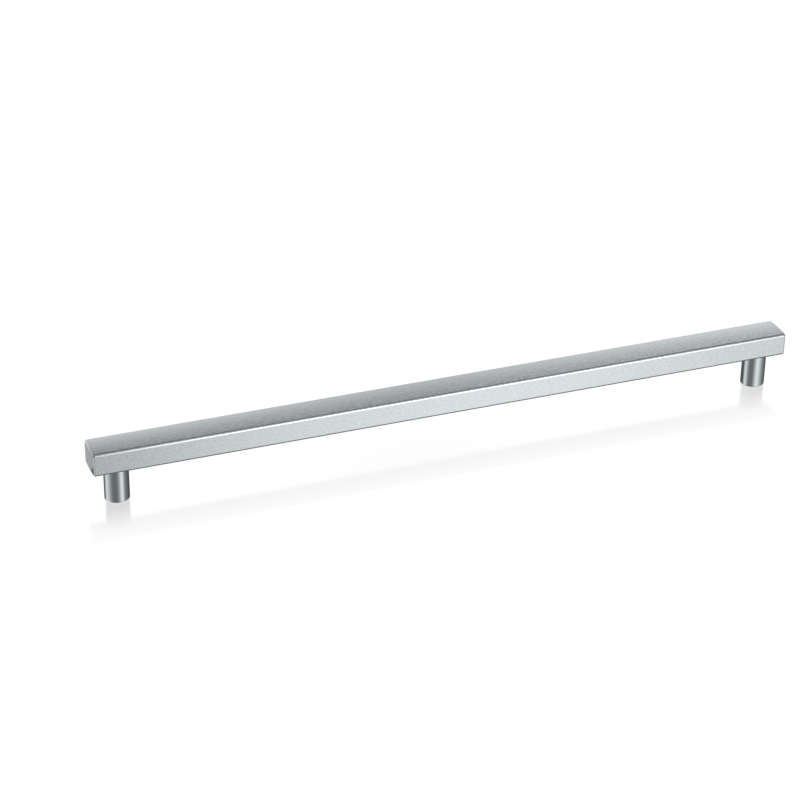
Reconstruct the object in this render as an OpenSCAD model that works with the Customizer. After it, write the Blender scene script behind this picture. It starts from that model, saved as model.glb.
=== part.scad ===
// Bar handle for a refrigerator door.
// A solid metal bar stands on two round posts, and a set screw inside each joint holds bar and post together.
// The door's bolts come through the door skin into the threaded hole in the foot of each post.
// Origin: midway between the posts, on the plane of their feet, where the handle meets the door.
// X runs along the bar, Y across it and Z from the door out to the bar.
// Holes are drawn at their tapping size and screws at their core size.

/* [Bar] */
// Distance from the axis of a post to the tip of the bar's end beside it
end_overhang = 19; // [12:0.5:80]
// Width of the bar, front to back
bar_w = 25; // [20:0.5:50]
// Height of the bar, from its underside to its outer face
bar_h = 17.5; // [14:0.5:40]
// Radius of the rounded edges along the bar
edge_r = 2; // [0.5:0.1:3]
// Radius of the rounded edges round both ends of the bar
end_r = 1; // [0.3:0.1:2]
// How far the middle of an end face stands out past its corners
end_crown = 0.6; // [0.2:0.1:3]

/* [Posts] */
// Distance between the axes of the two posts
hole_spacing = 500; // [100:1:1200]
// Diameter of a post
post_d = 18; // [14:0.5:20]
// Height of a post, which is the room for the fingers behind the bar
post_h = 26; // [20:0.5:80]
// Bevel round the foot of a post
foot_bevel = 0.4; // [0.1:0.1:1.5]
// Bevel round the top of a post, under the bar
top_bevel = 0.2; // [0.1:0.1:1.5]

/* [Door bolts] */
// Nominal diameter of the bolt that a post takes, 8 for M8
bolt_d = 8; // [7:1:10]
// Pitch of the bolt's thread, which also sets the tapping diameter
bolt_pitch = 1.25; // [1:0.25:1.5]
// Width of the bevel round the mouth of the bolt hole, outside the thread
bolt_lead_in = 0.3; // [0.1:0.1:0.8]

/* [Set screws] */
// Nominal diameter of a set screw, 6 for M6
screw_d = 6; // [5:0.5:6]
// Pitch of a set screw's thread, which also sets the tapping diameter
screw_pitch = 1; // [0.8:0.1:1.2]
// Length of a set screw
screw_l = 16; // [12:1:16]
// Depth that a set screw reaches into the bar
screw_in_bar = 9; // [6:0.5:10]
// Width across the flats of the key socket
key_af = 3; // [2:0.5:3]
// Depth of the key socket
key_depth = 3.5; // [2:0.5:5]
// Diameter of the cup at the upper end of a set screw
cup_d = 2.8; // [2:0.1:3.2]
// Bevel at both ends of a set screw
screw_bevel = 0.4; // [0.1:0.1:0.8]

/* [Fits] */
// Room between a set screw's core and the wall of its hole, all round
screw_gap = 0.1; // [0.05:0.05:0.3]
// Room past each end of a set screw
end_gap = 0.4; // [0.2:0.1:1]
// Angle of a drill's point, measured across its cone
drill_angle = 118; // [90:1:140]

/* [Hidden] */
$fn = 96;

// Length of the bar over its two crowned ends
bar_l = hole_spacing + 2 * end_overhang;
// Length that reaches past the whole bar from any place on it
reach = 2 * bar_l;
// Distance that a cut runs past the face that it opens
past = 1;
// Radius of the arc that crowns an end face, seen from above
crown_r = bar_w * bar_w / (8 * end_crown) + end_crown / 2;
// Distance from the middle of the bar to the centre of that arc
crown_x = bar_l / 2 - crown_r;
// Centre of the round at an upright corner of the bar, tangent to a side and to the crowned end
corner_y = bar_w / 2 - end_r;
corner_x = crown_x + sqrt(pow(crown_r - end_r, 2) - pow(corner_y, 2));
// Where that round meets the crowned end
blend_y = corner_y * crown_r / (crown_r - end_r);

// Tapping diameter of the hole that takes the door's bolt
bolt_tap_d = bolt_d - bolt_pitch;
// Tapping diameter of the holes that take a set screw
screw_tap_d = screw_d - screw_pitch;
// Core diameter of a set screw
screw_core_d = screw_tap_d - 2 * screw_gap;
// Diameter of the bevelled mouth of those holes
screw_mouth_d = screw_d + 2 * screw_gap;
// Length of a set screw inside the post
screw_in_post = screw_l - screw_in_bar;
// Height of the lower end of a set screw above the foot of the post
screw_z = post_h - screw_in_post;
// Length of the cone where a bolt hole narrows to the set screw's hole
step_cone = (bolt_tap_d - screw_tap_d) / 2 / tan(drill_angle / 2);
// Length of the threaded bolt hole, up to the cone below the set screw
bolt_hole_l = screw_z - end_gap - step_cone;
// Length of the drill point above the set screw's hole in the bar
tip_cone = screw_tap_d / 2 / tan(drill_angle / 2);

// Rectangle with rounded corners, standing on the line y = 0 and centred across it
module rounded_section(w, h, r) {
    for (side = [-1, 1], level = [r, h - r]) {
        translate([side * (w / 2 - r), level]) circle(r);
    }
    translate([-w / 2, r]) square([w, h - 2 * r]);
    translate([-w / 2 + r, 0]) square([w - 2 * r, h]);
}

// Outline of the bar seen from above, with crowned ends and rounded corners
module bar_outline() {
    for (end = [-1, 1], side = [-1, 1]) {
        translate([end * corner_x, side * corner_y]) circle(end_r);
    }
    square([2 * corner_x, bar_w], center = true);
    for (flip = [0, 1]) {
        mirror([flip, 0]) {
            intersection() {
                translate([crown_x, 0]) circle(crown_r);
                translate([0, -blend_y]) square([bar_l / 2, 2 * blend_y]);
            }
        }
    }
}

// Everything on the inner side of one crowned end, with a rounded rim above and below
module end_envelope(end) {
    translate([end * crown_x, 0, 0]) {
        rotate_extrude() {
            intersection() {
                rounded_section(2 * crown_r, bar_h, end_r);
                square([crown_r, bar_h]);
            }
        }
        translate([-end * reach / 2, 0, bar_h / 2]) cube([reach, 2 * bar_w, bar_h], center = true);
    }
}

// Solid bar before drilling, lying on the plane z = 0
module bar_blank() {
    intersection() {
        rotate([90, 0, 90]) {
            linear_extrude(reach, center = true) rounded_section(bar_w, bar_h, edge_r);
        }
        linear_extrude(bar_h) bar_outline();
        end_envelope(-1);
        end_envelope(1);
    }
}

// Blind hole with a bevelled mouth, drilled up from z = 0
module blind_hole(depth) {
    translate([0, 0, -past]) cylinder(d = screw_tap_d, h = depth + past);
    translate([0, 0, depth]) cylinder(d1 = screw_tap_d, d2 = 0, h = tip_cone);
    mouth_bevel(screw_mouth_d, screw_tap_d);
}

// Bevel from a wide mouth at z = 0 in to a narrower hole above it
module mouth_bevel(wide, narrow) {
    rotate_extrude() {
        polygon([[0, -past], [wide / 2, -past], [wide / 2, 0], [narrow / 2, (wide - narrow) / 2],
                 [0, (wide - narrow) / 2]]);
    }
}

module bar() {
    color([0.72, 0.73, 0.75])
    translate([0, 0, post_h]) {
        difference() {
            bar_blank();
            for (side = [-1, 1]) {
                translate([side * hole_spacing / 2, 0, 0]) blind_hole(screw_in_bar + end_gap);
            }
        }
    }
}

// Turned post standing on z = 0, with the bolt hole below and the set screw's hole above
module post() {
    color([0.6, 0.62, 0.63])
    difference() {
        rotate_extrude() {
            polygon([[0, 0], [post_d / 2 - foot_bevel, 0], [post_d / 2, foot_bevel],
                     [post_d / 2, post_h - top_bevel], [post_d / 2 - top_bevel, post_h], [0, post_h]]);
        }
        translate([0, 0, -past]) cylinder(d = bolt_tap_d, h = bolt_hole_l + past);
        translate([0, 0, bolt_hole_l]) cylinder(d1 = bolt_tap_d, d2 = screw_tap_d, h = step_cone);
        cylinder(d = screw_tap_d, h = post_h + past);
        mouth_bevel(bolt_d + 2 * bolt_lead_in, bolt_tap_d);
        translate([0, 0, post_h]) mirror([0, 0, 1]) mouth_bevel(screw_mouth_d, screw_tap_d);
    }
}

module left_post() {
    translate([-hole_spacing / 2, 0, 0]) post();
}

module right_post() {
    translate([hole_spacing / 2, 0, 0]) post();
}

// Set screw with a key socket at its lower end and a cup at its upper end
module set_screw() {
    core_r = screw_core_d / 2;
    color([0.2, 0.2, 0.22])
    translate([0, 0, screw_z]) {
        difference() {
            rotate_extrude() {
                polygon([[0, 0], [core_r - screw_bevel, 0], [core_r, screw_bevel],
                         [core_r, screw_l - screw_bevel], [core_r - screw_bevel, screw_l],
                         [cup_d / 2, screw_l], [0, screw_l - cup_d / 2]]);
            }
            translate([0, 0, -past]) cylinder(d = key_af / cos(30), h = key_depth + past, $fn = 6);
        }
    }
}

module left_set_screw() {
    translate([-hole_spacing / 2, 0, 0]) set_screw();
}

module right_set_screw() {
    translate([hole_spacing / 2, 0, 0]) set_screw();
}

bar();
left_post();
right_post();
left_set_screw();
right_set_screw();
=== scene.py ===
"""Looks of a refrigerator door handle: a rectangular satin bar on two turned posts.

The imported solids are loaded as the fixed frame. The bar and the posts are modelled again
with fine rounds and real screw threads, in the place and to the size of their solids, and
the set screws keep their solids. Every length is in metres, with Z from the door out to
the bar.
"""

from __future__ import annotations

import logging
import math
from collections.abc import Callable, Iterator, Sequence
from contextlib import contextmanager
from dataclasses import dataclass, field
from enum import Enum

import bmesh
import bpy
from mathutils import Matrix, Vector


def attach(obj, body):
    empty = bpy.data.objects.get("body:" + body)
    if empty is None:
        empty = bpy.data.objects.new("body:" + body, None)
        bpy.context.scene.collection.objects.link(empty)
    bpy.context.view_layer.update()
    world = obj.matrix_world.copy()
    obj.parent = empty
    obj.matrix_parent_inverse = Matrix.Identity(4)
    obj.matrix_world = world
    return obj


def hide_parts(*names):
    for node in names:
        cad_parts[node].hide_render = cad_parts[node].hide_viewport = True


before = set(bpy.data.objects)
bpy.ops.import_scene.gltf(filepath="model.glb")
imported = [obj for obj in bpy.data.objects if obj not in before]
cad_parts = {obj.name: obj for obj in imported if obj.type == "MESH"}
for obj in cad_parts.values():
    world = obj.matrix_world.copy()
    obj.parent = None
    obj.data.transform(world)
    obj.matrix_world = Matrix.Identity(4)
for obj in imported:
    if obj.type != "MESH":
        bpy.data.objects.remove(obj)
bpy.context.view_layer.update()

LOG = logging.getLogger("handle")
MM = 0.001
# Corners this close are merged while a piece is modelled.
MERGE = 1e-7
# Places this close count as one. A cut leaves edges shorter than this, which are closed.
CLOSE = 1e-6
# Faces that meet at more than this angle keep a crisp edge.
CRISP = math.radians(30)
# A noise texture's values lie mostly between these two.
NOISE_LOW = 0.3
NOISE_HIGH = 0.7


class Side(Enum):
    """The two ends of the handle, by the sign of X."""

    LEFT = -1
    RIGHT = 1


class Axis(Enum):
    """The axis that a card is graded along."""

    X = 0
    Y = 1


class Slot(Enum):
    """The material slots of the record."""

    BAR = "bar"
    POST = "post"
    SET_SCREW = "set_screw"


class Pick(Enum):
    """What is picked in edit mode: the store of a mesh and the select mode for it."""

    CORNERS = ("verts", (True, False, False))
    EDGES = ("edges", (False, True, False))
    FACES = ("faces", (False, False, True))


# Hand tools.


def deselect_all() -> None:
    """Leave nothing selected, so that the next operator acts on its own piece only."""
    bpy.ops.object.select_all(action="DESELECT")


def take(piece: bpy.types.Object) -> None:
    """Make one piece the only selected and the active one.

    Args:
        piece: The piece to work on.
    """
    deselect_all()
    piece.select_set(True)
    bpy.context.view_layer.objects.active = piece


@contextmanager
def editing(piece: bpy.types.Object) -> Iterator[None]:
    """Open a piece in edit mode, picking corners and with nothing selected, and close it again.

    Args:
        piece: The piece to shape.

    Yields:
        Nothing. The piece is in edit mode inside the block.
    """
    take(piece)
    bpy.context.tool_settings.mesh_select_mode = Pick.CORNERS.value[1]
    bpy.ops.object.mode_set(mode="EDIT")
    bpy.ops.mesh.select_all(action="DESELECT")
    try:
        yield
    finally:
        bpy.ops.object.mode_set(mode="OBJECT")


def pick(piece: bpy.types.Object, kind: Pick, wanted: Callable[[object], bool]) -> None:
    """Select the corners, edges or faces that a test wants, and nothing else.

    Args:
        piece: The piece in edit mode.
        kind: What to select.
        wanted: Test of one corner, edge or face by its place or normal.
    """
    store, mode = kind.value
    bpy.ops.mesh.select_all(action="DESELECT")
    bpy.context.tool_settings.mesh_select_mode = mode
    shell = bmesh.from_edit_mesh(piece.data)
    for element in getattr(shell, store):
        element.select_set(bool(wanted(element)))
    shell.select_flush_mode()
    bmesh.update_edit_mesh(piece.data)


def settle(piece: bpy.types.Object) -> None:
    """Put a piece's place, turn and scale into its mesh, so that its object sits at the origin.

    Args:
        piece: The piece to settle.
    """
    take(piece)
    bpy.ops.object.transform_apply(location=True, rotation=True, scale=True)


def finish_with(piece: bpy.types.Object, kind: str, **settings: object) -> None:
    """Add a modifier to a piece, set it and apply it.

    Args:
        piece: The piece to change.
        kind: Blender's name of the modifier.
        **settings: Values of the modifier's settings.
    """
    take(piece)
    modifier = piece.modifiers.new(kind.title(), kind)
    for name, value in settings.items():
        setattr(modifier, name, value)
    bpy.ops.object.modifier_apply(modifier=modifier.name)


def cut_away(piece: bpy.types.Object, tool: bpy.types.Object) -> None:
    """Take the room of a tool out of a piece, and put the tool away.

    Args:
        piece: The piece to cut.
        tool: The closed shape that is taken out of it.
    """
    finish_with(piece, "BOOLEAN", object=tool, operation="DIFFERENCE", solver="EXACT")
    bpy.data.meshes.remove(tool.data)
    with editing(piece):
        bpy.ops.mesh.select_all(action="SELECT")
        bpy.ops.mesh.remove_doubles(threshold=CLOSE)


def smooth(piece: bpy.types.Object) -> None:
    """Shade a piece smooth across its gentle edges and crisp across its sharp ones.

    Args:
        piece: The finished mesh.
    """
    take(piece)
    bpy.ops.object.shade_smooth_by_angle(angle=CRISP)
    finish_with(piece, "WEIGHTED_NORMAL", keep_sharp=True)


def turned(name: str, profile: Sequence[tuple[float, float]], steps: int) -> bpy.types.Object:
    """Turn a closed profile round the Z axis, as on a lathe.

    Args:
        name: Name of the new piece.
        profile: Points (radius, height) of the closed profile, in order.
        steps: Number of faces round the piece.

    Returns:
        The turned piece, closed, with its faces pointing outwards.

    Raises:
        ValueError: If the profile didn't make a closed surface.
    """
    radius, height = profile[0]
    deselect_all()
    bpy.ops.mesh.primitive_plane_add(size=MM, location=(radius, 0, height))
    piece = bpy.context.object
    piece.name = piece.data.name = name
    settle(piece)
    with editing(piece):
        bpy.ops.mesh.select_all(action="SELECT")
        bpy.ops.mesh.merge(type="CENTER")
        last = (radius, height)
        for point in (*profile[1:], profile[0]):
            step = (point[0] - last[0], 0, point[1] - last[1])
            bpy.ops.mesh.extrude_region_move(TRANSFORM_OT_translate={"value": step})
            last = point
        bpy.ops.mesh.select_all(action="SELECT")
        bpy.ops.mesh.remove_doubles(threshold=MERGE)
        bpy.ops.mesh.select_all(action="SELECT")
        bpy.ops.mesh.spin(
            steps=steps, angle=math.tau, center=(0, 0, 0), axis=(0, 0, 1), use_auto_merge=True
        )
        bpy.ops.mesh.select_all(action="SELECT")
        bpy.ops.mesh.remove_doubles(threshold=MERGE)
        bpy.ops.mesh.dissolve_degenerate(threshold=MERGE)
        bpy.ops.mesh.select_all(action="SELECT")
        bpy.ops.mesh.normals_make_consistent(inside=False)
    if len(piece.data.polygons) < steps:
        raise ValueError(f"{name} was turned with only {len(piece.data.polygons)} faces")
    return piece


# Colours and nodes.


def linear(code: str) -> tuple[float, float, float, float]:
    """Turn an sRGB hex colour to the linear values that a shader takes.

    Args:
        code: The colour as six hex digits after a #.

    Returns:
        Red, green, blue and a full alpha.
    """
    parts = [int(code[i : i + 2], 16) / 255 for i in (1, 3, 5)]
    red, green, blue = (
        part / 12.92 if part <= 0.04045 else ((part + 0.055) / 1.055) ** 2.4 for part in parts
    )
    return (red, green, blue, 1.0)


def add_node(
    tree: bpy.types.NodeTree,
    kind: str,
    settings: dict[str, object] | None = None,
    inputs: dict[str | int, object] | None = None,
) -> bpy.types.Node:
    """Add a node with its settings, its constants and its links.

    Args:
        tree: The node tree that gets the node.
        kind: Blender's name of the node's type.
        settings: Values of the node's own settings.
        inputs: What each input gets: a constant, or an output socket to link from.

    Returns:
        The new node.
    """
    node = tree.nodes.new(kind)
    for name, value in (settings or {}).items():
        setattr(node, name, value)
    for name, value in (inputs or {}).items():
        socket = node.inputs[name]
        if isinstance(value, bpy.types.NodeSocket):
            tree.links.new(value, socket)
        else:
            socket.default_value = value
    return node


def graded(
    tree: bpy.types.NodeTree,
    value: bpy.types.NodeSocket,
    bands: Sequence[tuple[float, float]],
) -> bpy.types.NodeSocket:
    """Turn a value to a grey that changes evenly from each band to the next.

    Args:
        tree: The node tree that gets the nodes.
        value: The output socket with the value.
        bands: Pairs (value, grey), with the values rising.

    Returns:
        The output socket with the grey.
    """
    first, last = bands[0][0], bands[-1][0]
    share = add_node(
        tree, "ShaderNodeMapRange", {}, {"Value": value, "From Min": first, "From Max": last}
    )
    grade = add_node(tree, "ShaderNodeValToRGB", {}, {"Fac": share.outputs[0]})
    stops = grade.color_ramp.elements
    while len(stops) > 1:
        stops.remove(stops[-1])
    stops[0].position = 0.0
    for at, _ in bands[1:]:
        stops.new((at - first) / (last - first))
    for stop, (_, grey) in zip(stops, bands, strict=True):
        stop.color = (grey, grey, grey, 1.0)
    return grade.outputs[0]


@dataclass(frozen=True)
class Finish:
    """A surface finish: its name, the slot that it dresses and how it is shaded.

    The roughness swings by up to roughness_swing either way over the surface.
    """

    name: str
    slot: Slot
    colour: str
    roughness: float
    roughness_swing: float

    def material(self) -> bpy.types.Material:
        """Make the finish as a material.

        Returns:
            The material with its nodes.
        """
        material = bpy.data.materials.new(self.name)
        material.use_nodes = True
        tree = material.node_tree
        tree.nodes.clear()
        shader = self.shade(tree)
        add_node(tree, "ShaderNodeOutputMaterial", {}, {"Surface": shader.outputs[0]})
        return material

    def shade(self, tree: bpy.types.NodeTree) -> bpy.types.Node:
        """Build the shader of the finish.

        Args:
            tree: The material's empty node tree.

        Returns:
            The node whose first output is the surface.
        """
        raise NotImplementedError

    def dress(self, piece: bpy.types.Object) -> None:
        """Give a piece this finish alone.

        Args:
            piece: The piece to dress.
        """
        material = bpy.data.materials.get(self.name) or self.material()
        piece.data.materials.clear()
        piece.data.materials.append(material)


@dataclass(frozen=True)
class SatinAnodised(Finish):
    """Aluminium that was ground lengthwise with a fine belt and then anodised clear.

    The eye gets a soft, cool grey sheen with a fine mottled grain along the bar, and
    reflections that are blurred to broad light and dark zones.
    """

    name: str = "satin_anodised_aluminium"
    slot: Slot = Slot.BAR
    colour: str = "#BEC3C6"
    light_colour: str = "#D2D7DA"
    roughness: float = 0.2
    roughness_swing: float = 0.05
    # A 240 grit belt leaves scratches about 0.06 mm wide. They are drawn 0.9 mm wide and
    # 3 mm long here, the finest that shows in the render.
    grain_width: float = 0.9 * MM
    grain_length: float = 3.0 * MM
    grain_depth: float = 0.0003 * MM

    def shade(self, tree: bpy.types.NodeTree) -> bpy.types.Node:
        """Build the satin metal with its grain.

        Args:
            tree: The material's empty node tree.

        Returns:
            The metal shader.
        """
        place = add_node(tree, "ShaderNodeTexCoord")
        across = 1 / self.grain_width
        stretch = add_node(
            tree,
            "ShaderNodeMapping",
            {},
            {"Vector": place.outputs["Object"], "Scale": (1 / self.grain_length, across, across)},
        )
        grain = add_node(
            tree,
            "ShaderNodeTexNoise",
            {},
            {"Vector": stretch.outputs[0], "Scale": 1.0, "Detail": 3.0, "Roughness": 0.6},
        )
        mottle = add_node(
            tree,
            "ShaderNodeMapRange",
            {},
            {"Value": grain.outputs[0], "From Min": NOISE_LOW, "From Max": NOISE_HIGH},
        )
        tint = add_node(
            tree,
            "ShaderNodeMix",
            {"data_type": "RGBA"},
            {"Factor": mottle.outputs[0], 6: linear(self.colour), 7: linear(self.light_colour)},
        )
        blur = add_node(
            tree,
            "ShaderNodeMapRange",
            {},
            {
                "Value": grain.outputs[0],
                "From Min": NOISE_LOW,
                "From Max": NOISE_HIGH,
                "To Min": self.roughness - self.roughness_swing,
                "To Max": self.roughness + self.roughness_swing,
            },
        )
        relief = add_node(
            tree,
            "ShaderNodeBump",
            {},
            {"Height": grain.outputs[0], "Distance": self.grain_depth, "Strength": 1.0},
        )
        return add_node(
            tree,
            "ShaderNodeBsdfPrincipled",
            {},
            {
                "Base Color": tint.outputs[2],
                "Metallic": 1.0,
                "Roughness": blur.outputs[0],
                "Normal": relief.outputs[0],
            },
        )


@dataclass(frozen=True)
class TurnedPolished(Finish):
    """Steel that was turned on a lathe and polished.

    The eye gets clear upright bands of light and dark, with the faint rings that the
    turning tool left round the post.
    """

    name: str = "turned_polished_steel"
    slot: Slot = Slot.POST
    colour: str = "#C1C8CB"
    roughness: float = 0.1
    roughness_swing: float = 0.03
    # The tool moves 0.1 mm a turn. The rings are drawn 0.6 mm apart so that they show.
    ring_width: float = 0.6 * MM
    ring_depth: float = 0.001 * MM

    def shade(self, tree: bpy.types.NodeTree) -> bpy.types.Node:
        """Build the polished metal with its turning rings.

        Args:
            tree: The material's empty node tree.

        Returns:
            The metal shader.
        """
        place = add_node(tree, "ShaderNodeTexCoord")
        stretch = add_node(
            tree,
            "ShaderNodeMapping",
            {},
            {"Vector": place.outputs["Object"], "Scale": (1.0, 1.0, 1 / self.ring_width)},
        )
        rings = add_node(
            tree,
            "ShaderNodeTexNoise",
            {},
            {"Vector": stretch.outputs[0], "Scale": 1.0, "Detail": 2.0, "Roughness": 0.5},
        )
        blur = add_node(
            tree,
            "ShaderNodeMapRange",
            {},
            {
                "Value": rings.outputs[0],
                "From Min": NOISE_LOW,
                "From Max": NOISE_HIGH,
                "To Min": self.roughness - self.roughness_swing,
                "To Max": self.roughness + self.roughness_swing,
            },
        )
        relief = add_node(
            tree,
            "ShaderNodeBump",
            {},
            {"Height": rings.outputs[0], "Distance": self.ring_depth, "Strength": 1.0},
        )
        return add_node(
            tree,
            "ShaderNodeBsdfPrincipled",
            {},
            {
                "Base Color": linear(self.colour),
                "Metallic": 1.0,
                "Roughness": blur.outputs[0],
                "Normal": relief.outputs[0],
            },
        )


@dataclass(frozen=True)
class BlackOxide(Finish):
    """Hardened steel with a thin black oxide and a film of oil.

    The eye gets a near-black grey with small uneven highlights.
    """

    name: str = "black_oxide_steel"
    slot: Slot = Slot.SET_SCREW
    colour: str = "#2C2D30"
    light_colour: str = "#494B4F"
    roughness: float = 0.38
    roughness_swing: float = 0.08
    # The oxide is blotchy over about 1 mm.
    blotch: float = 1.0 * MM

    def shade(self, tree: bpy.types.NodeTree) -> bpy.types.Node:
        """Build the dark metal with its blotches.

        Args:
            tree: The material's empty node tree.

        Returns:
            The metal shader.
        """
        place = add_node(tree, "ShaderNodeTexCoord")
        blotches = add_node(
            tree,
            "ShaderNodeTexNoise",
            {},
            {"Vector": place.outputs["Object"], "Scale": 1 / self.blotch, "Detail": 4.0},
        )
        tint = add_node(
            tree,
            "ShaderNodeMix",
            {"data_type": "RGBA"},
            {"Factor": blotches.outputs[0], 6: linear(self.colour), 7: linear(self.light_colour)},
        )
        blur = add_node(
            tree,
            "ShaderNodeMapRange",
            {},
            {
                "Value": blotches.outputs[0],
                "To Min": self.roughness - self.roughness_swing,
                "To Max": self.roughness + self.roughness_swing,
            },
        )
        return add_node(
            tree,
            "ShaderNodeBsdfPrincipled",
            {},
            {
                "Base Color": tint.outputs[2],
                "Metallic": 1.0,
                "Roughness": blur.outputs[0],
            },
        )


# The handle's pieces.


@dataclass
class Bar:
    """The solid bar: a ground rectangular section with rounded edges and crowned ends."""

    length: float = 538 * MM
    width: float = 25 * MM
    height: float = 17.5 * MM
    underside: float = 26 * MM
    edge_round: float = 2.0 * MM
    end_round: float = 1.0 * MM
    end_crown: float = 0.6 * MM
    hole_spacing: float = 500 * MM
    hole_radius: float = 2.5 * MM
    hole_mouth: float = 3.1 * MM
    hole_depth: float = 9.4 * MM
    drill_angle: float = 118.0
    drill_steps: int = 48
    # The outermost strips are 2.08 mm wide, so that the round of a long edge stays on them.
    crown_strips: int = 12
    round_steps: int = 8
    finish: Finish = field(default_factory=SatinAnodised)

    @staticmethod
    def is_end(face: bmesh.types.BMFace) -> bool:
        """Tell whether a face belongs to an end of the bar."""
        return abs(face.normal.x) > math.cos(math.radians(45))

    def crown_drop(self, y: float) -> float:
        """Give how far an end face lies back from its tip at a place across the bar.

        Args:
            y: Distance from the middle of the bar.

        Returns:
            The distance along X from the tip of the crown.
        """
        half = self.width / 2
        radius = half**2 / (2 * self.end_crown) + self.end_crown / 2
        return radius - math.sqrt(radius**2 - y**2)

    def build(self) -> bpy.types.Object:
        """Model the bar in place.

        Returns:
            The bar.
        """
        deselect_all()
        centre = (0, 0, self.underside + self.height / 2)
        bpy.ops.mesh.primitive_cube_add(size=1, location=centre)
        bar = bpy.context.object
        bar.name = bar.data.name = "satin_bar"
        bar.scale = (self.length, self.width, self.height)
        settle(bar)
        self.crown_ends(bar)
        self.round_edges(bar)
        for side in Side:
            cut_away(bar, self.drill(side))
        smooth(bar)
        self.finish.dress(bar)
        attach(bar, "root")
        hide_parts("bar")
        return bar

    def crown_ends(self, bar: bpy.types.Object) -> None:
        """Split the two end faces into upright strips and set them on a shallow arc.

        Args:
            bar: The plain block.
        """
        half = self.width / 2
        stations = [
            half * (2 * i / self.crown_strips - 1) for i in range(self.crown_strips + 1)
        ]

        def stands_at(corner: bmesh.types.BMVert, x: float, y: float) -> bool:
            """Tell whether a corner lies at a place seen from above."""
            return abs(corner.co.x - x) < CLOSE and abs(corner.co.y - y) < CLOSE

        with editing(bar):
            for y in stations[1:-1]:
                pick(bar, Pick.FACES, self.is_end)
                bpy.ops.mesh.bisect(plane_co=(0, y, 0), plane_no=(0, 1, 0))
            for y in stations:
                for side in Side:
                    tip = side.value * self.length / 2
                    pick(bar, Pick.CORNERS, lambda corner: stands_at(corner, tip, y))
                    inwards = -side.value * self.crown_drop(y)
                    bpy.ops.transform.translate(value=(inwards, 0, 0))

    def round_edges(self, bar: bpy.types.Object) -> None:
        """Round the four long edges, and then the rim of each end with its smaller radius.

        Args:
            bar: The block with its crowned ends.
        """

        def runs_along(edge: bmesh.types.BMEdge) -> bool:
            """Tell whether an edge runs the length of the bar."""
            one, other = (corner.co for corner in edge.verts)
            return abs(one.x - other.x) > self.length / 2

        def is_rim(edge: bmesh.types.BMEdge) -> bool:
            """Tell whether an edge lies between an end face and a long face."""
            ends = [self.is_end(face) for face in edge.link_faces]
            return len(ends) == 2 and ends[0] != ends[1]

        with editing(bar):
            for wanted, radius in ((runs_along, self.edge_round), (is_rim, self.end_round)):
                pick(bar, Pick.EDGES, wanted)
                bpy.ops.mesh.bevel(offset=radius, segments=self.round_steps, profile=0.5)
            bpy.ops.mesh.select_all(action="SELECT")
            bpy.ops.mesh.remove_doubles(threshold=MERGE)
            bpy.ops.mesh.normals_make_consistent(inside=False)

    def drill(self, side: Side) -> bpy.types.Object:
        """Make the shape that a drill takes out of the underside above one post.

        Args:
            side: The end of the bar that is drilled.

        Returns:
            The closed shape, in place.
        """
        foot = self.underside
        lead = self.hole_mouth - self.hole_radius
        tip = self.hole_radius / math.tan(math.radians(self.drill_angle / 2))
        tool = turned(
            "drilled_room",
            [
                (0.0, foot - MM),
                (self.hole_mouth, foot - MM),
                (self.hole_mouth, foot),
                (self.hole_radius, foot + lead),
                (self.hole_radius, foot + self.hole_depth),
                (0.0, foot + self.hole_depth + tip),
            ],
            self.drill_steps,
        )
        tool.location.x = side.value * self.hole_spacing / 2
        settle(tool)
        return tool


@dataclass
class ScrewThread:
    """The room that a tap cuts out of the wall of a hole, as one helical groove."""

    diameter: float = 8 * MM
    pitch: float = 1.25 * MM
    flank_angle: float = 30.0
    base_radius: float = 3.2 * MM
    turns: int = 13
    steps: int = 64

    def build(self, start: float) -> bpy.types.Object:
        """Sweep the groove's section up the Z axis.

        Args:
            start: Height of the middle of the groove at its lower end.

        Returns:
            The closed groove, on the Z axis.
        """
        outer = self.diameter / 2
        depth = outer - self.base_radius
        middle = (outer + self.base_radius) / 2
        # Half the width of the groove's flat, which is an eighth of the pitch, and of its mouth.
        flat = self.pitch / 16
        mouth = flat + depth * math.tan(math.radians(self.flank_angle))
        deselect_all()
        bpy.ops.mesh.primitive_plane_add(
            size=1, location=(middle, 0, start), rotation=(math.pi / 2, 0, 0)
        )
        groove = bpy.context.object
        groove.scale = (depth, 2 * mouth, 1)
        settle(groove)
        with editing(groove):
            pick(groove, Pick.CORNERS, lambda corner: corner.co.x > middle)
            bpy.ops.transform.resize(value=(1, 1, flat / mouth), center_override=(outer, 0, start))
        finish_with(
            groove,
            "SCREW",
            axis="Z",
            angle=math.tau,
            screw_offset=self.pitch,
            iterations=self.turns,
            steps=self.steps,
            render_steps=self.steps,
            use_merge_vertices=False,
        )
        with editing(groove):
            pick(groove, Pick.EDGES, lambda edge: edge.is_boundary)
            bpy.ops.mesh.fill_holes(sides=4)
            bpy.ops.mesh.select_all(action="SELECT")
            bpy.ops.mesh.normals_make_consistent(inside=False)
        return groove


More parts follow.
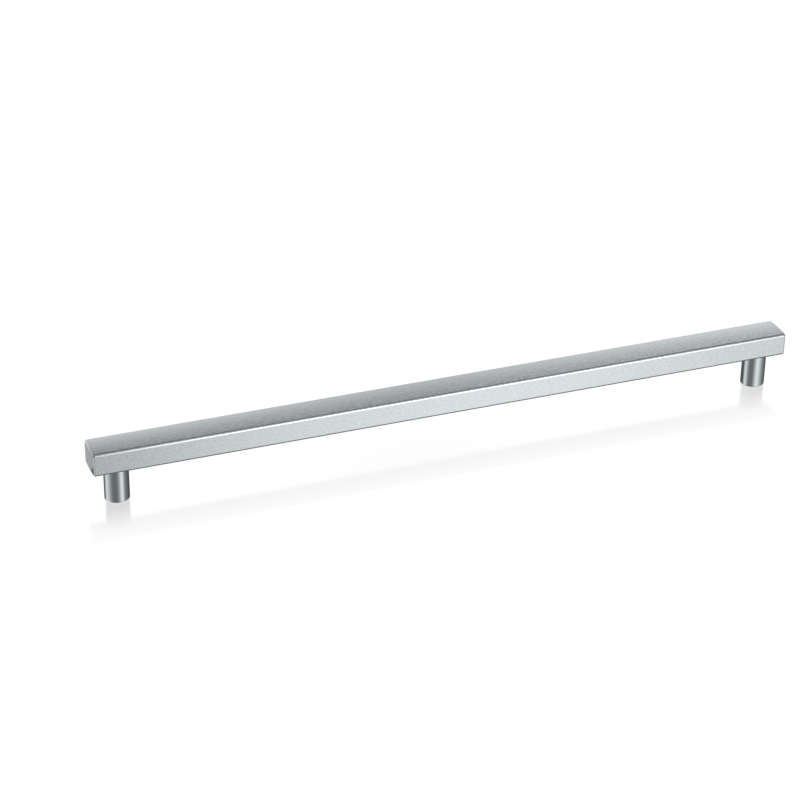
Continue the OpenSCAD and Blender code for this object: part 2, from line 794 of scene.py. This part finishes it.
@dataclass
class Post:
    """A turned post: bevelled at foot and top, tapped from the foot for the door's bolt."""

    radius: float = 9 * MM
    height: float = 26 * MM
    foot_bevel: float = 0.4 * MM
    top_bevel: float = 0.2 * MM
    bolt_hole: float = 3.375 * MM
    bolt_mouth: float = 4.3 * MM
    bolt_depth: float = 18.07 * MM
    screw_hole: float = 2.5 * MM
    screw_mouth: float = 3.1 * MM
    drill_angle: float = 118.0
    spacing: float = 500 * MM
    steps: int = 160
    thread: ScrewThread = field(default_factory=ScrewThread)
    # The groove starts under the foot, so that it runs out through the mouth of the hole.
    thread_start: float = -0.6 * MM
    finish: Finish = field(default_factory=TurnedPolished)

    def profile(self) -> list[tuple[float, float]]:
        """Give the post's closed profile, up its hole and down its outside.

        Returns:
            Points (radius, height).
        """
        cone = (self.bolt_hole - self.screw_hole) / math.tan(math.radians(self.drill_angle / 2))
        return [
            (self.bolt_mouth, 0.0),
            (self.bolt_hole, self.bolt_mouth - self.bolt_hole),
            (self.bolt_hole, self.bolt_depth),
            (self.screw_hole, self.bolt_depth + cone),
            (self.screw_hole, self.height - (self.screw_mouth - self.screw_hole)),
            (self.screw_mouth, self.height),
            (self.radius - self.top_bevel, self.height),
            (self.radius, self.height - self.top_bevel),
            (self.radius, self.foot_bevel),
            (self.radius - self.foot_bevel, 0.0),
        ]

    def build(self) -> list[bpy.types.Object]:
        """Model one post on the Z axis, then stand a copy at each end of the bar.

        Returns:
            The left and the right post.
        """
        pattern = turned("turned_post", self.profile(), self.steps)
        cut_away(pattern, self.thread.build(self.thread_start))
        posts = [self.stand(pattern, side) for side in Side]
        bpy.data.meshes.remove(pattern.data)
        return posts

    def stand(self, pattern: bpy.types.Object, side: Side) -> bpy.types.Object:
        """Stand a copy of the post at one end, with its own mesh.

        Args:
            pattern: The post on the Z axis.
            side: The end where the copy stands.

        Returns:
            The finished post.
        """
        take(pattern)
        bpy.ops.object.duplicate()
        post = bpy.context.object
        post.name = post.data.name = f"turned_post_{side.name.lower()}"
        post.location.x = side.value * self.spacing / 2
        settle(post)
        smooth(post)
        self.finish.dress(post)
        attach(post, "root")
        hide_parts(f"{side.name.lower()}_post")
        return post


@dataclass
class SetScrew:
    """A hidden set screw, which keeps its solid."""

    finish: Finish = field(default_factory=BlackOxide)

    def build(self) -> list[bpy.types.Object]:
        """Dress the two solids.

        Returns:
            The left and the right set screw.
        """
        screws = [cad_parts[f"{side.name.lower()}_set_screw"] for side in Side]
        for screw in screws:
            self.finish.dress(screw)
        return screws


# The studio.


@dataclass
class Viewpoint:
    """The camera, looking down along the bar from in front of its left end.

    Its angles are in degrees, and its lens and sensor in millimetres.
    """

    azimuth: float = 21.174
    elevation: float = 29.103
    roll: float = 0.719
    distance: float = 1.87316
    aim: tuple[float, float, float] = (-0.037860, 0.0, 0.037815)
    lens: float = 116.853
    sensor: float = 36.0

    def build(self) -> bpy.types.Object:
        """Set up the camera and make it the scene's.

        Returns:
            The camera.
        """
        turn = math.radians(self.azimuth)
        tilt = math.radians(self.elevation)
        forward = Vector(
            (math.cos(tilt) * math.sin(turn), math.cos(tilt) * math.cos(turn), -math.sin(tilt))
        )
        level = Vector((math.cos(turn), -math.sin(turn), 0))
        lean = Matrix.Rotation(math.radians(self.roll), 3, -forward)
        right = lean @ level
        up = right.cross(forward)
        data = bpy.data.cameras.new("viewpoint")
        data.lens = self.lens
        data.sensor_width = self.sensor
        data.dof.use_dof = False
        camera = bpy.data.objects.new("viewpoint", data)
        axes = Matrix((right, up, -forward)).transposed().to_4x4()
        camera.matrix_world = Matrix.Translation(Vector(self.aim) - self.distance * forward) @ axes
        bpy.context.scene.collection.objects.link(camera)
        bpy.context.scene.camera = camera
        return camera


@dataclass
class Softbox:
    """A flat light that reaches one object alone and isn't seen by the camera."""

    name: str
    place: tuple[float, float, float]
    aim: tuple[float, float, float]
    size: tuple[float, float]
    radiance: float

    def build(self) -> bpy.types.Object:
        """Hang the light.

        Returns:
            The light.
        """
        data = bpy.data.lights.new(self.name, "AREA")
        data.shape = "RECTANGLE"
        data.size, data.size_y = self.size
        data.energy = self.radiance * math.pi * self.size[0] * self.size[1]
        light = bpy.data.objects.new(self.name, data)
        light.location = self.place
        look = Vector(self.aim) - Vector(self.place)
        light.rotation_euler = look.to_track_quat("-Z", "Y").to_euler()
        light.visible_camera = False
        bpy.context.scene.collection.objects.link(light)
        return light

    def light_only(self, receiver: bpy.types.Object) -> None:
        """Hang the light so that it reaches one object alone.

        Args:
            receiver: The object that the light reaches.
        """
        reached = bpy.data.collections.new(f"{self.name}_reach")
        reached.objects.link(receiver)
        self.build().light_linking.receiver_collection = reached


@dataclass
class Card:
    """A white card beside the handle that shows in the metal alone, brighter in some places.

    Its turn is its tilt and its heading in degrees. Its glow is pairs of a place along its
    axis and the grey there.
    """

    name: str
    middle: tuple[float, float, float]
    size: tuple[float, float]
    turn: tuple[float, float]
    glow: tuple[tuple[float, float], ...]
    along: Axis = Axis.X

    def build(self) -> bpy.types.Object:
        """Set up the card.

        Returns:
            The card.
        """
        tilt, heading = (math.radians(angle) for angle in self.turn)
        deselect_all()
        bpy.ops.mesh.primitive_plane_add(
            size=1, location=self.middle, rotation=(tilt, 0, heading)
        )
        card = bpy.context.object
        card.name = card.data.name = self.name
        card.scale = (*self.size, 1)
        settle(card)
        card.data.materials.append(self.material())
        card.visible_camera = False
        card.visible_diffuse = False
        card.visible_shadow = False
        card.visible_transmission = False
        return card

    def material(self) -> bpy.types.Material:
        """Make the card's white, graded along one axis.

        Returns:
            The material.
        """
        material = bpy.data.materials.new(self.name)
        material.use_nodes = True
        material.cycles.emission_sampling = "NONE"
        tree = material.node_tree
        tree.nodes.clear()
        place = add_node(tree, "ShaderNodeTexCoord")
        axes = add_node(tree, "ShaderNodeSeparateXYZ", {}, {0: place.outputs["Object"]})
        grey = graded(tree, axes.outputs[self.along.value], self.glow)
        glow = add_node(tree, "ShaderNodeEmission", {}, {"Color": grey})
        add_node(tree, "ShaderNodeOutputMaterial", {}, {"Surface": glow.outputs[0]})
        return material


@dataclass
class Studio:
    """The white floor, the softboxes and cards, and the room round them."""

    floor_size: float = 12.0
    front: Softbox = field(
        default_factory=lambda: Softbox(
            "front_softbox",
            place=(0.465, -1.18, 0.53),
            aim=(0.465, 0.0, 0.53),
            size=(0.93, 1.02),
            radiance=2.15,
        )
    )
    overhead: Softbox = field(
        default_factory=lambda: Softbox(
            "overhead_softbox",
            place=(0.65, -0.7, 1.7),
            aim=(0.65, -0.7, 0.0),
            size=(1.5, 1.0),
            radiance=0.7,
        )
    )
    wall: Softbox = field(
        default_factory=lambda: Softbox(
            "back_wall",
            place=(1.6, 4.0, 2.4),
            aim=(0, 0, 0),
            size=(6.0, 5.0),
            radiance=1.6,
        )
    )
    # The cards stand for pale things near the handle, and for what the floor mirrors back up
    # into the metal.
    cards: tuple[Card, ...] = (
        Card(
            "back_card",
            middle=(0.0, 0.15, 0.101),
            size=(1.2, 0.062),
            turn=(90, 0),
            glow=((-0.6, 1.27), (-0.19, 1.27), (0.04, 1.08), (0.3, 1.37), (0.6, 1.4)),
        ),
        Card(
            "upper_back_card",
            middle=(0.3, 0.6, 0.95),
            size=(1.4, 0.9),
            turn=(90, 0),
            glow=((-0.4, 0.0), (-0.11, 0.03), (0.04, 0.36), (0.34, 0.6), (1.0, 0.52)),
        ),
        Card(
            "back_left_card",
            middle=(-0.56, 0.6, 0.18),
            size=(0.32, 0.36),
            turn=(90, 0),
            glow=((-0.72, 1.7), (-0.4, 1.7)),
        ),
        Card(
            "front_softbox_in_floor",
            middle=(1.1, -1.18, -0.61),
            size=(3.2, 1.18),
            turn=(90, 0),
            glow=(
                (-0.5, 0.25),
                (0.0, 0.63),
                (0.2, 1.07),
                (0.6, 1.29),
                (0.93, 1.04),
                (1.6, 0.62),
                (2.7, 0.36),
            ),
        ),
        Card(
            "left_softbox_in_floor",
            middle=(-1.1, 0.125, -0.61),
            size=(1.75, 1.18),
            turn=(90, 90),
            glow=((-0.75, 0.25), (-0.44, 0.36), (0.05, 0.84), (0.3, 1.18), (0.6, 0.9), (1.0, 0.6)),
            along=Axis.Y,
        ),
        Card(
            "foot_of_front_softbox",
            middle=(0.465, -1.175, -0.16),
            size=(0.93, 0.28),
            turn=(90, 0),
            glow=((0.0, 1.7), (0.93, 1.7)),
        ),
        Card(
            "left_softbox",
            middle=(-1.1, -0.15, 1.15),
            size=(0.7, 0.7),
            turn=(90, 90),
            glow=((-0.5, 3.0), (0.2, 3.0)),
            along=Axis.Y,
        ),
        Card(
            "underside_card",
            middle=(0.02, 0.075, -0.001),
            size=(0.56, 0.062),
            turn=(0, 0),
            glow=(
                (0.044, 0.5),
                (0.05, 0.9),
                (0.056, 1.3),
                (0.064, 1.2),
                (0.075, 0.8),
                (0.106, 0.7),
            ),
            along=Axis.Y,
        ),
        Card(
            "end_card",
            middle=(-0.335, 0.101, -0.001),
            size=(0.13, 0.118),
            turn=(0, 0),
            glow=((-0.4, 0.5), (-0.27, 0.5)),
        ),
        Card(
            "corner_card",
            middle=(-0.304, -0.063, -0.001),
            size=(0.09, 0.045),
            turn=(0, 145),
            glow=((-0.36, 0.62), (-0.25, 0.62)),
        ),
    )
    # Share of the mirror image at a place from front to back, which fades as the sheet's
    # opal skin scatters what lies further from it.
    mirror: tuple[tuple[float, float], ...] = (
        (-0.08, 0.0),
        (-0.06, 0.04),
        (-0.042, 0.1),
        (-0.024, 0.25),
        (-0.015, 0.33),
        (0.0, 0.33),
        (0.03, 0.0),
    )
    mirror_blur: float = 0.13
    floor_glow: float = 1.02
    # Greys below the horizon, by the degrees round from the front towards the right.
    below: tuple[tuple[float, float], ...] = (
        (-180, 0.15),
        (-120, 0.15),
        (-70, 0.25),
        (-10, 0.24),
        (50, 0.44),
        (64, 0.42),
        (80, 0.27),
        (115, 0.12),
        (140, 0.06),
        (170, 0.06),
        (180, 0.15),
    )
    # Deep below, the greys are held to this share, which rises to all of them between these
    # two heights, in degrees above the horizon.
    low_share: float = 0.75
    low_heights: tuple[float, float] = (-52.0, -38.0)
    # Greys above the horizon, by the share of the way up to the zenith.
    above: tuple[tuple[float, float], ...] = (
        (0.0, 0.08),
        (0.17, 0.12),
        (0.25, 0.4),
        (0.325, 0.34),
        (0.35, 0.04),
        (0.72, 0.04),
        (1.0, 0.4),
    )

    def build(self) -> bpy.types.Object:
        """Lay the floor, hang the lights and set the room.

        Returns:
            The floor.
        """
        deselect_all()
        bpy.ops.mesh.primitive_plane_add(size=self.floor_size)
        floor = bpy.context.object
        floor.name = floor.data.name = "white_floor"
        floor.data.materials.append(self.floor_material())
        floor.visible_glossy = False
        for softbox in (self.front, self.overhead):
            softbox.light_only(bpy.data.objects["satin_bar"])
        self.wall.light_only(floor)
        for card in self.cards:
            card.build()
        self.room()
        bpy.context.scene.view_settings.view_transform = "Standard"
        bpy.context.scene.view_settings.look = "None"
        return floor

    def floor_material(self) -> bpy.types.Material:
        """Make the floor of white opal sheet, lit from below, with a faint mirror image.

        Returns:
            The material.
        """
        material = bpy.data.materials.new("white_opal_sheet")
        material.use_nodes = True
        tree = material.node_tree
        tree.nodes.clear()
        place = add_node(tree, "ShaderNodeTexCoord")
        axes = add_node(tree, "ShaderNodeSeparateXYZ", {}, {0: place.outputs["Object"]})
        share = graded(tree, axes.outputs[1], self.mirror)
        white = add_node(tree, "ShaderNodeEmission", {}, {"Strength": self.floor_glow})
        gloss = add_node(tree, "ShaderNodeBsdfGlossy", {}, {"Roughness": self.mirror_blur})
        mixed = add_node(
            tree,
            "ShaderNodeMixShader",
            {},
            {0: share, 1: white.outputs[0], 2: gloss.outputs[0]},
        )
        clear = add_node(tree, "ShaderNodeBsdfTransparent")
        facing = add_node(tree, "ShaderNodeNewGeometry")
        surface = add_node(
            tree,
            "ShaderNodeMixShader",
            {},
            {0: facing.outputs["Backfacing"], 1: mixed.outputs[0], 2: clear.outputs[0]},
        )
        add_node(tree, "ShaderNodeOutputMaterial", {}, {"Surface": surface.outputs[0]})
        return material

    def room(self) -> None:
        """Surround the handle with a soft room: bands by direction below, a gradient above."""
        world = bpy.data.worlds.new("soft_room")
        bpy.context.scene.world = world
        world.use_nodes = True
        tree = world.node_tree
        tree.nodes.clear()
        place = add_node(tree, "ShaderNodeTexCoord")
        axes = add_node(tree, "ShaderNodeSeparateXYZ", {}, {0: place.outputs["Generated"]})
        front = add_node(
            tree, "ShaderNodeMath", {"operation": "MULTIPLY"}, {0: axes.outputs[1], 1: -1.0}
        )
        turn = add_node(
            tree,
            "ShaderNodeMath",
            {"operation": "ARCTAN2"},
            {0: axes.outputs[0], 1: front.outputs[0]},
        )
        below = graded(
            tree, turn.outputs[0], [(math.radians(angle), grey) for angle, grey in self.below]
        )
        height = add_node(tree, "ShaderNodeMath", {"operation": "ARCSINE"}, {0: axes.outputs[2]})
        low, full = (math.radians(angle) for angle in self.low_heights)
        kept = add_node(
            tree,
            "ShaderNodeMapRange",
            {},
            {
                "Value": height.outputs[0],
                "From Min": low,
                "From Max": full,
                "To Min": self.low_share,
            },
        )
        dimmed = add_node(
            tree,
            "ShaderNodeMix",
            {"data_type": "RGBA", "blend_type": "MULTIPLY"},
            {"Factor": 1.0, 6: below, 7: kept.outputs[0]},
        )
        above = graded(
            tree, height.outputs[0], [(rise * math.pi / 2, grey) for rise, grey in self.above]
        )
        upper = add_node(
            tree, "ShaderNodeMath", {"operation": "GREATER_THAN"}, {0: axes.outputs[2], 1: 0.0}
        )
        both = add_node(
            tree,
            "ShaderNodeMix",
            {"data_type": "RGBA"},
            {"Factor": upper.outputs[0], 6: dimmed.outputs[2], 7: above},
        )
        glow = add_node(tree, "ShaderNodeBackground", {}, {"Color": both.outputs[2]})
        add_node(tree, "ShaderNodeOutputWorld", {}, {"Surface": glow.outputs[0]})


def report(piece: bpy.types.Object) -> None:
    """Log a piece's name, its corners in millimetres and its faces.

    Args:
        piece: The finished piece.
    """
    corners = [Vector(corner) for corner in piece.bound_box]
    low = [min(corner[i] for corner in corners) / MM for i in range(3)]
    high = [max(corner[i] for corner in corners) / MM for i in range(3)]
    LOG.info(
        "%s: %s to %s mm, %d faces",
        piece.name,
        [round(value, 2) for value in low],
        [round(value, 2) for value in high],
        len(piece.data.polygons),
    )


def main() -> None:
    """Build the handle piece by piece, then the studio round it."""
    logging.basicConfig(level=logging.INFO, format="%(name)s: %(message)s")
    Viewpoint().build()
    report(Bar().build())
    for post in Post().build():
        report(post)
    for screw in SetScrew().build():
        report(screw)
    Studio().build()


if __name__ == "__main__":
    main()
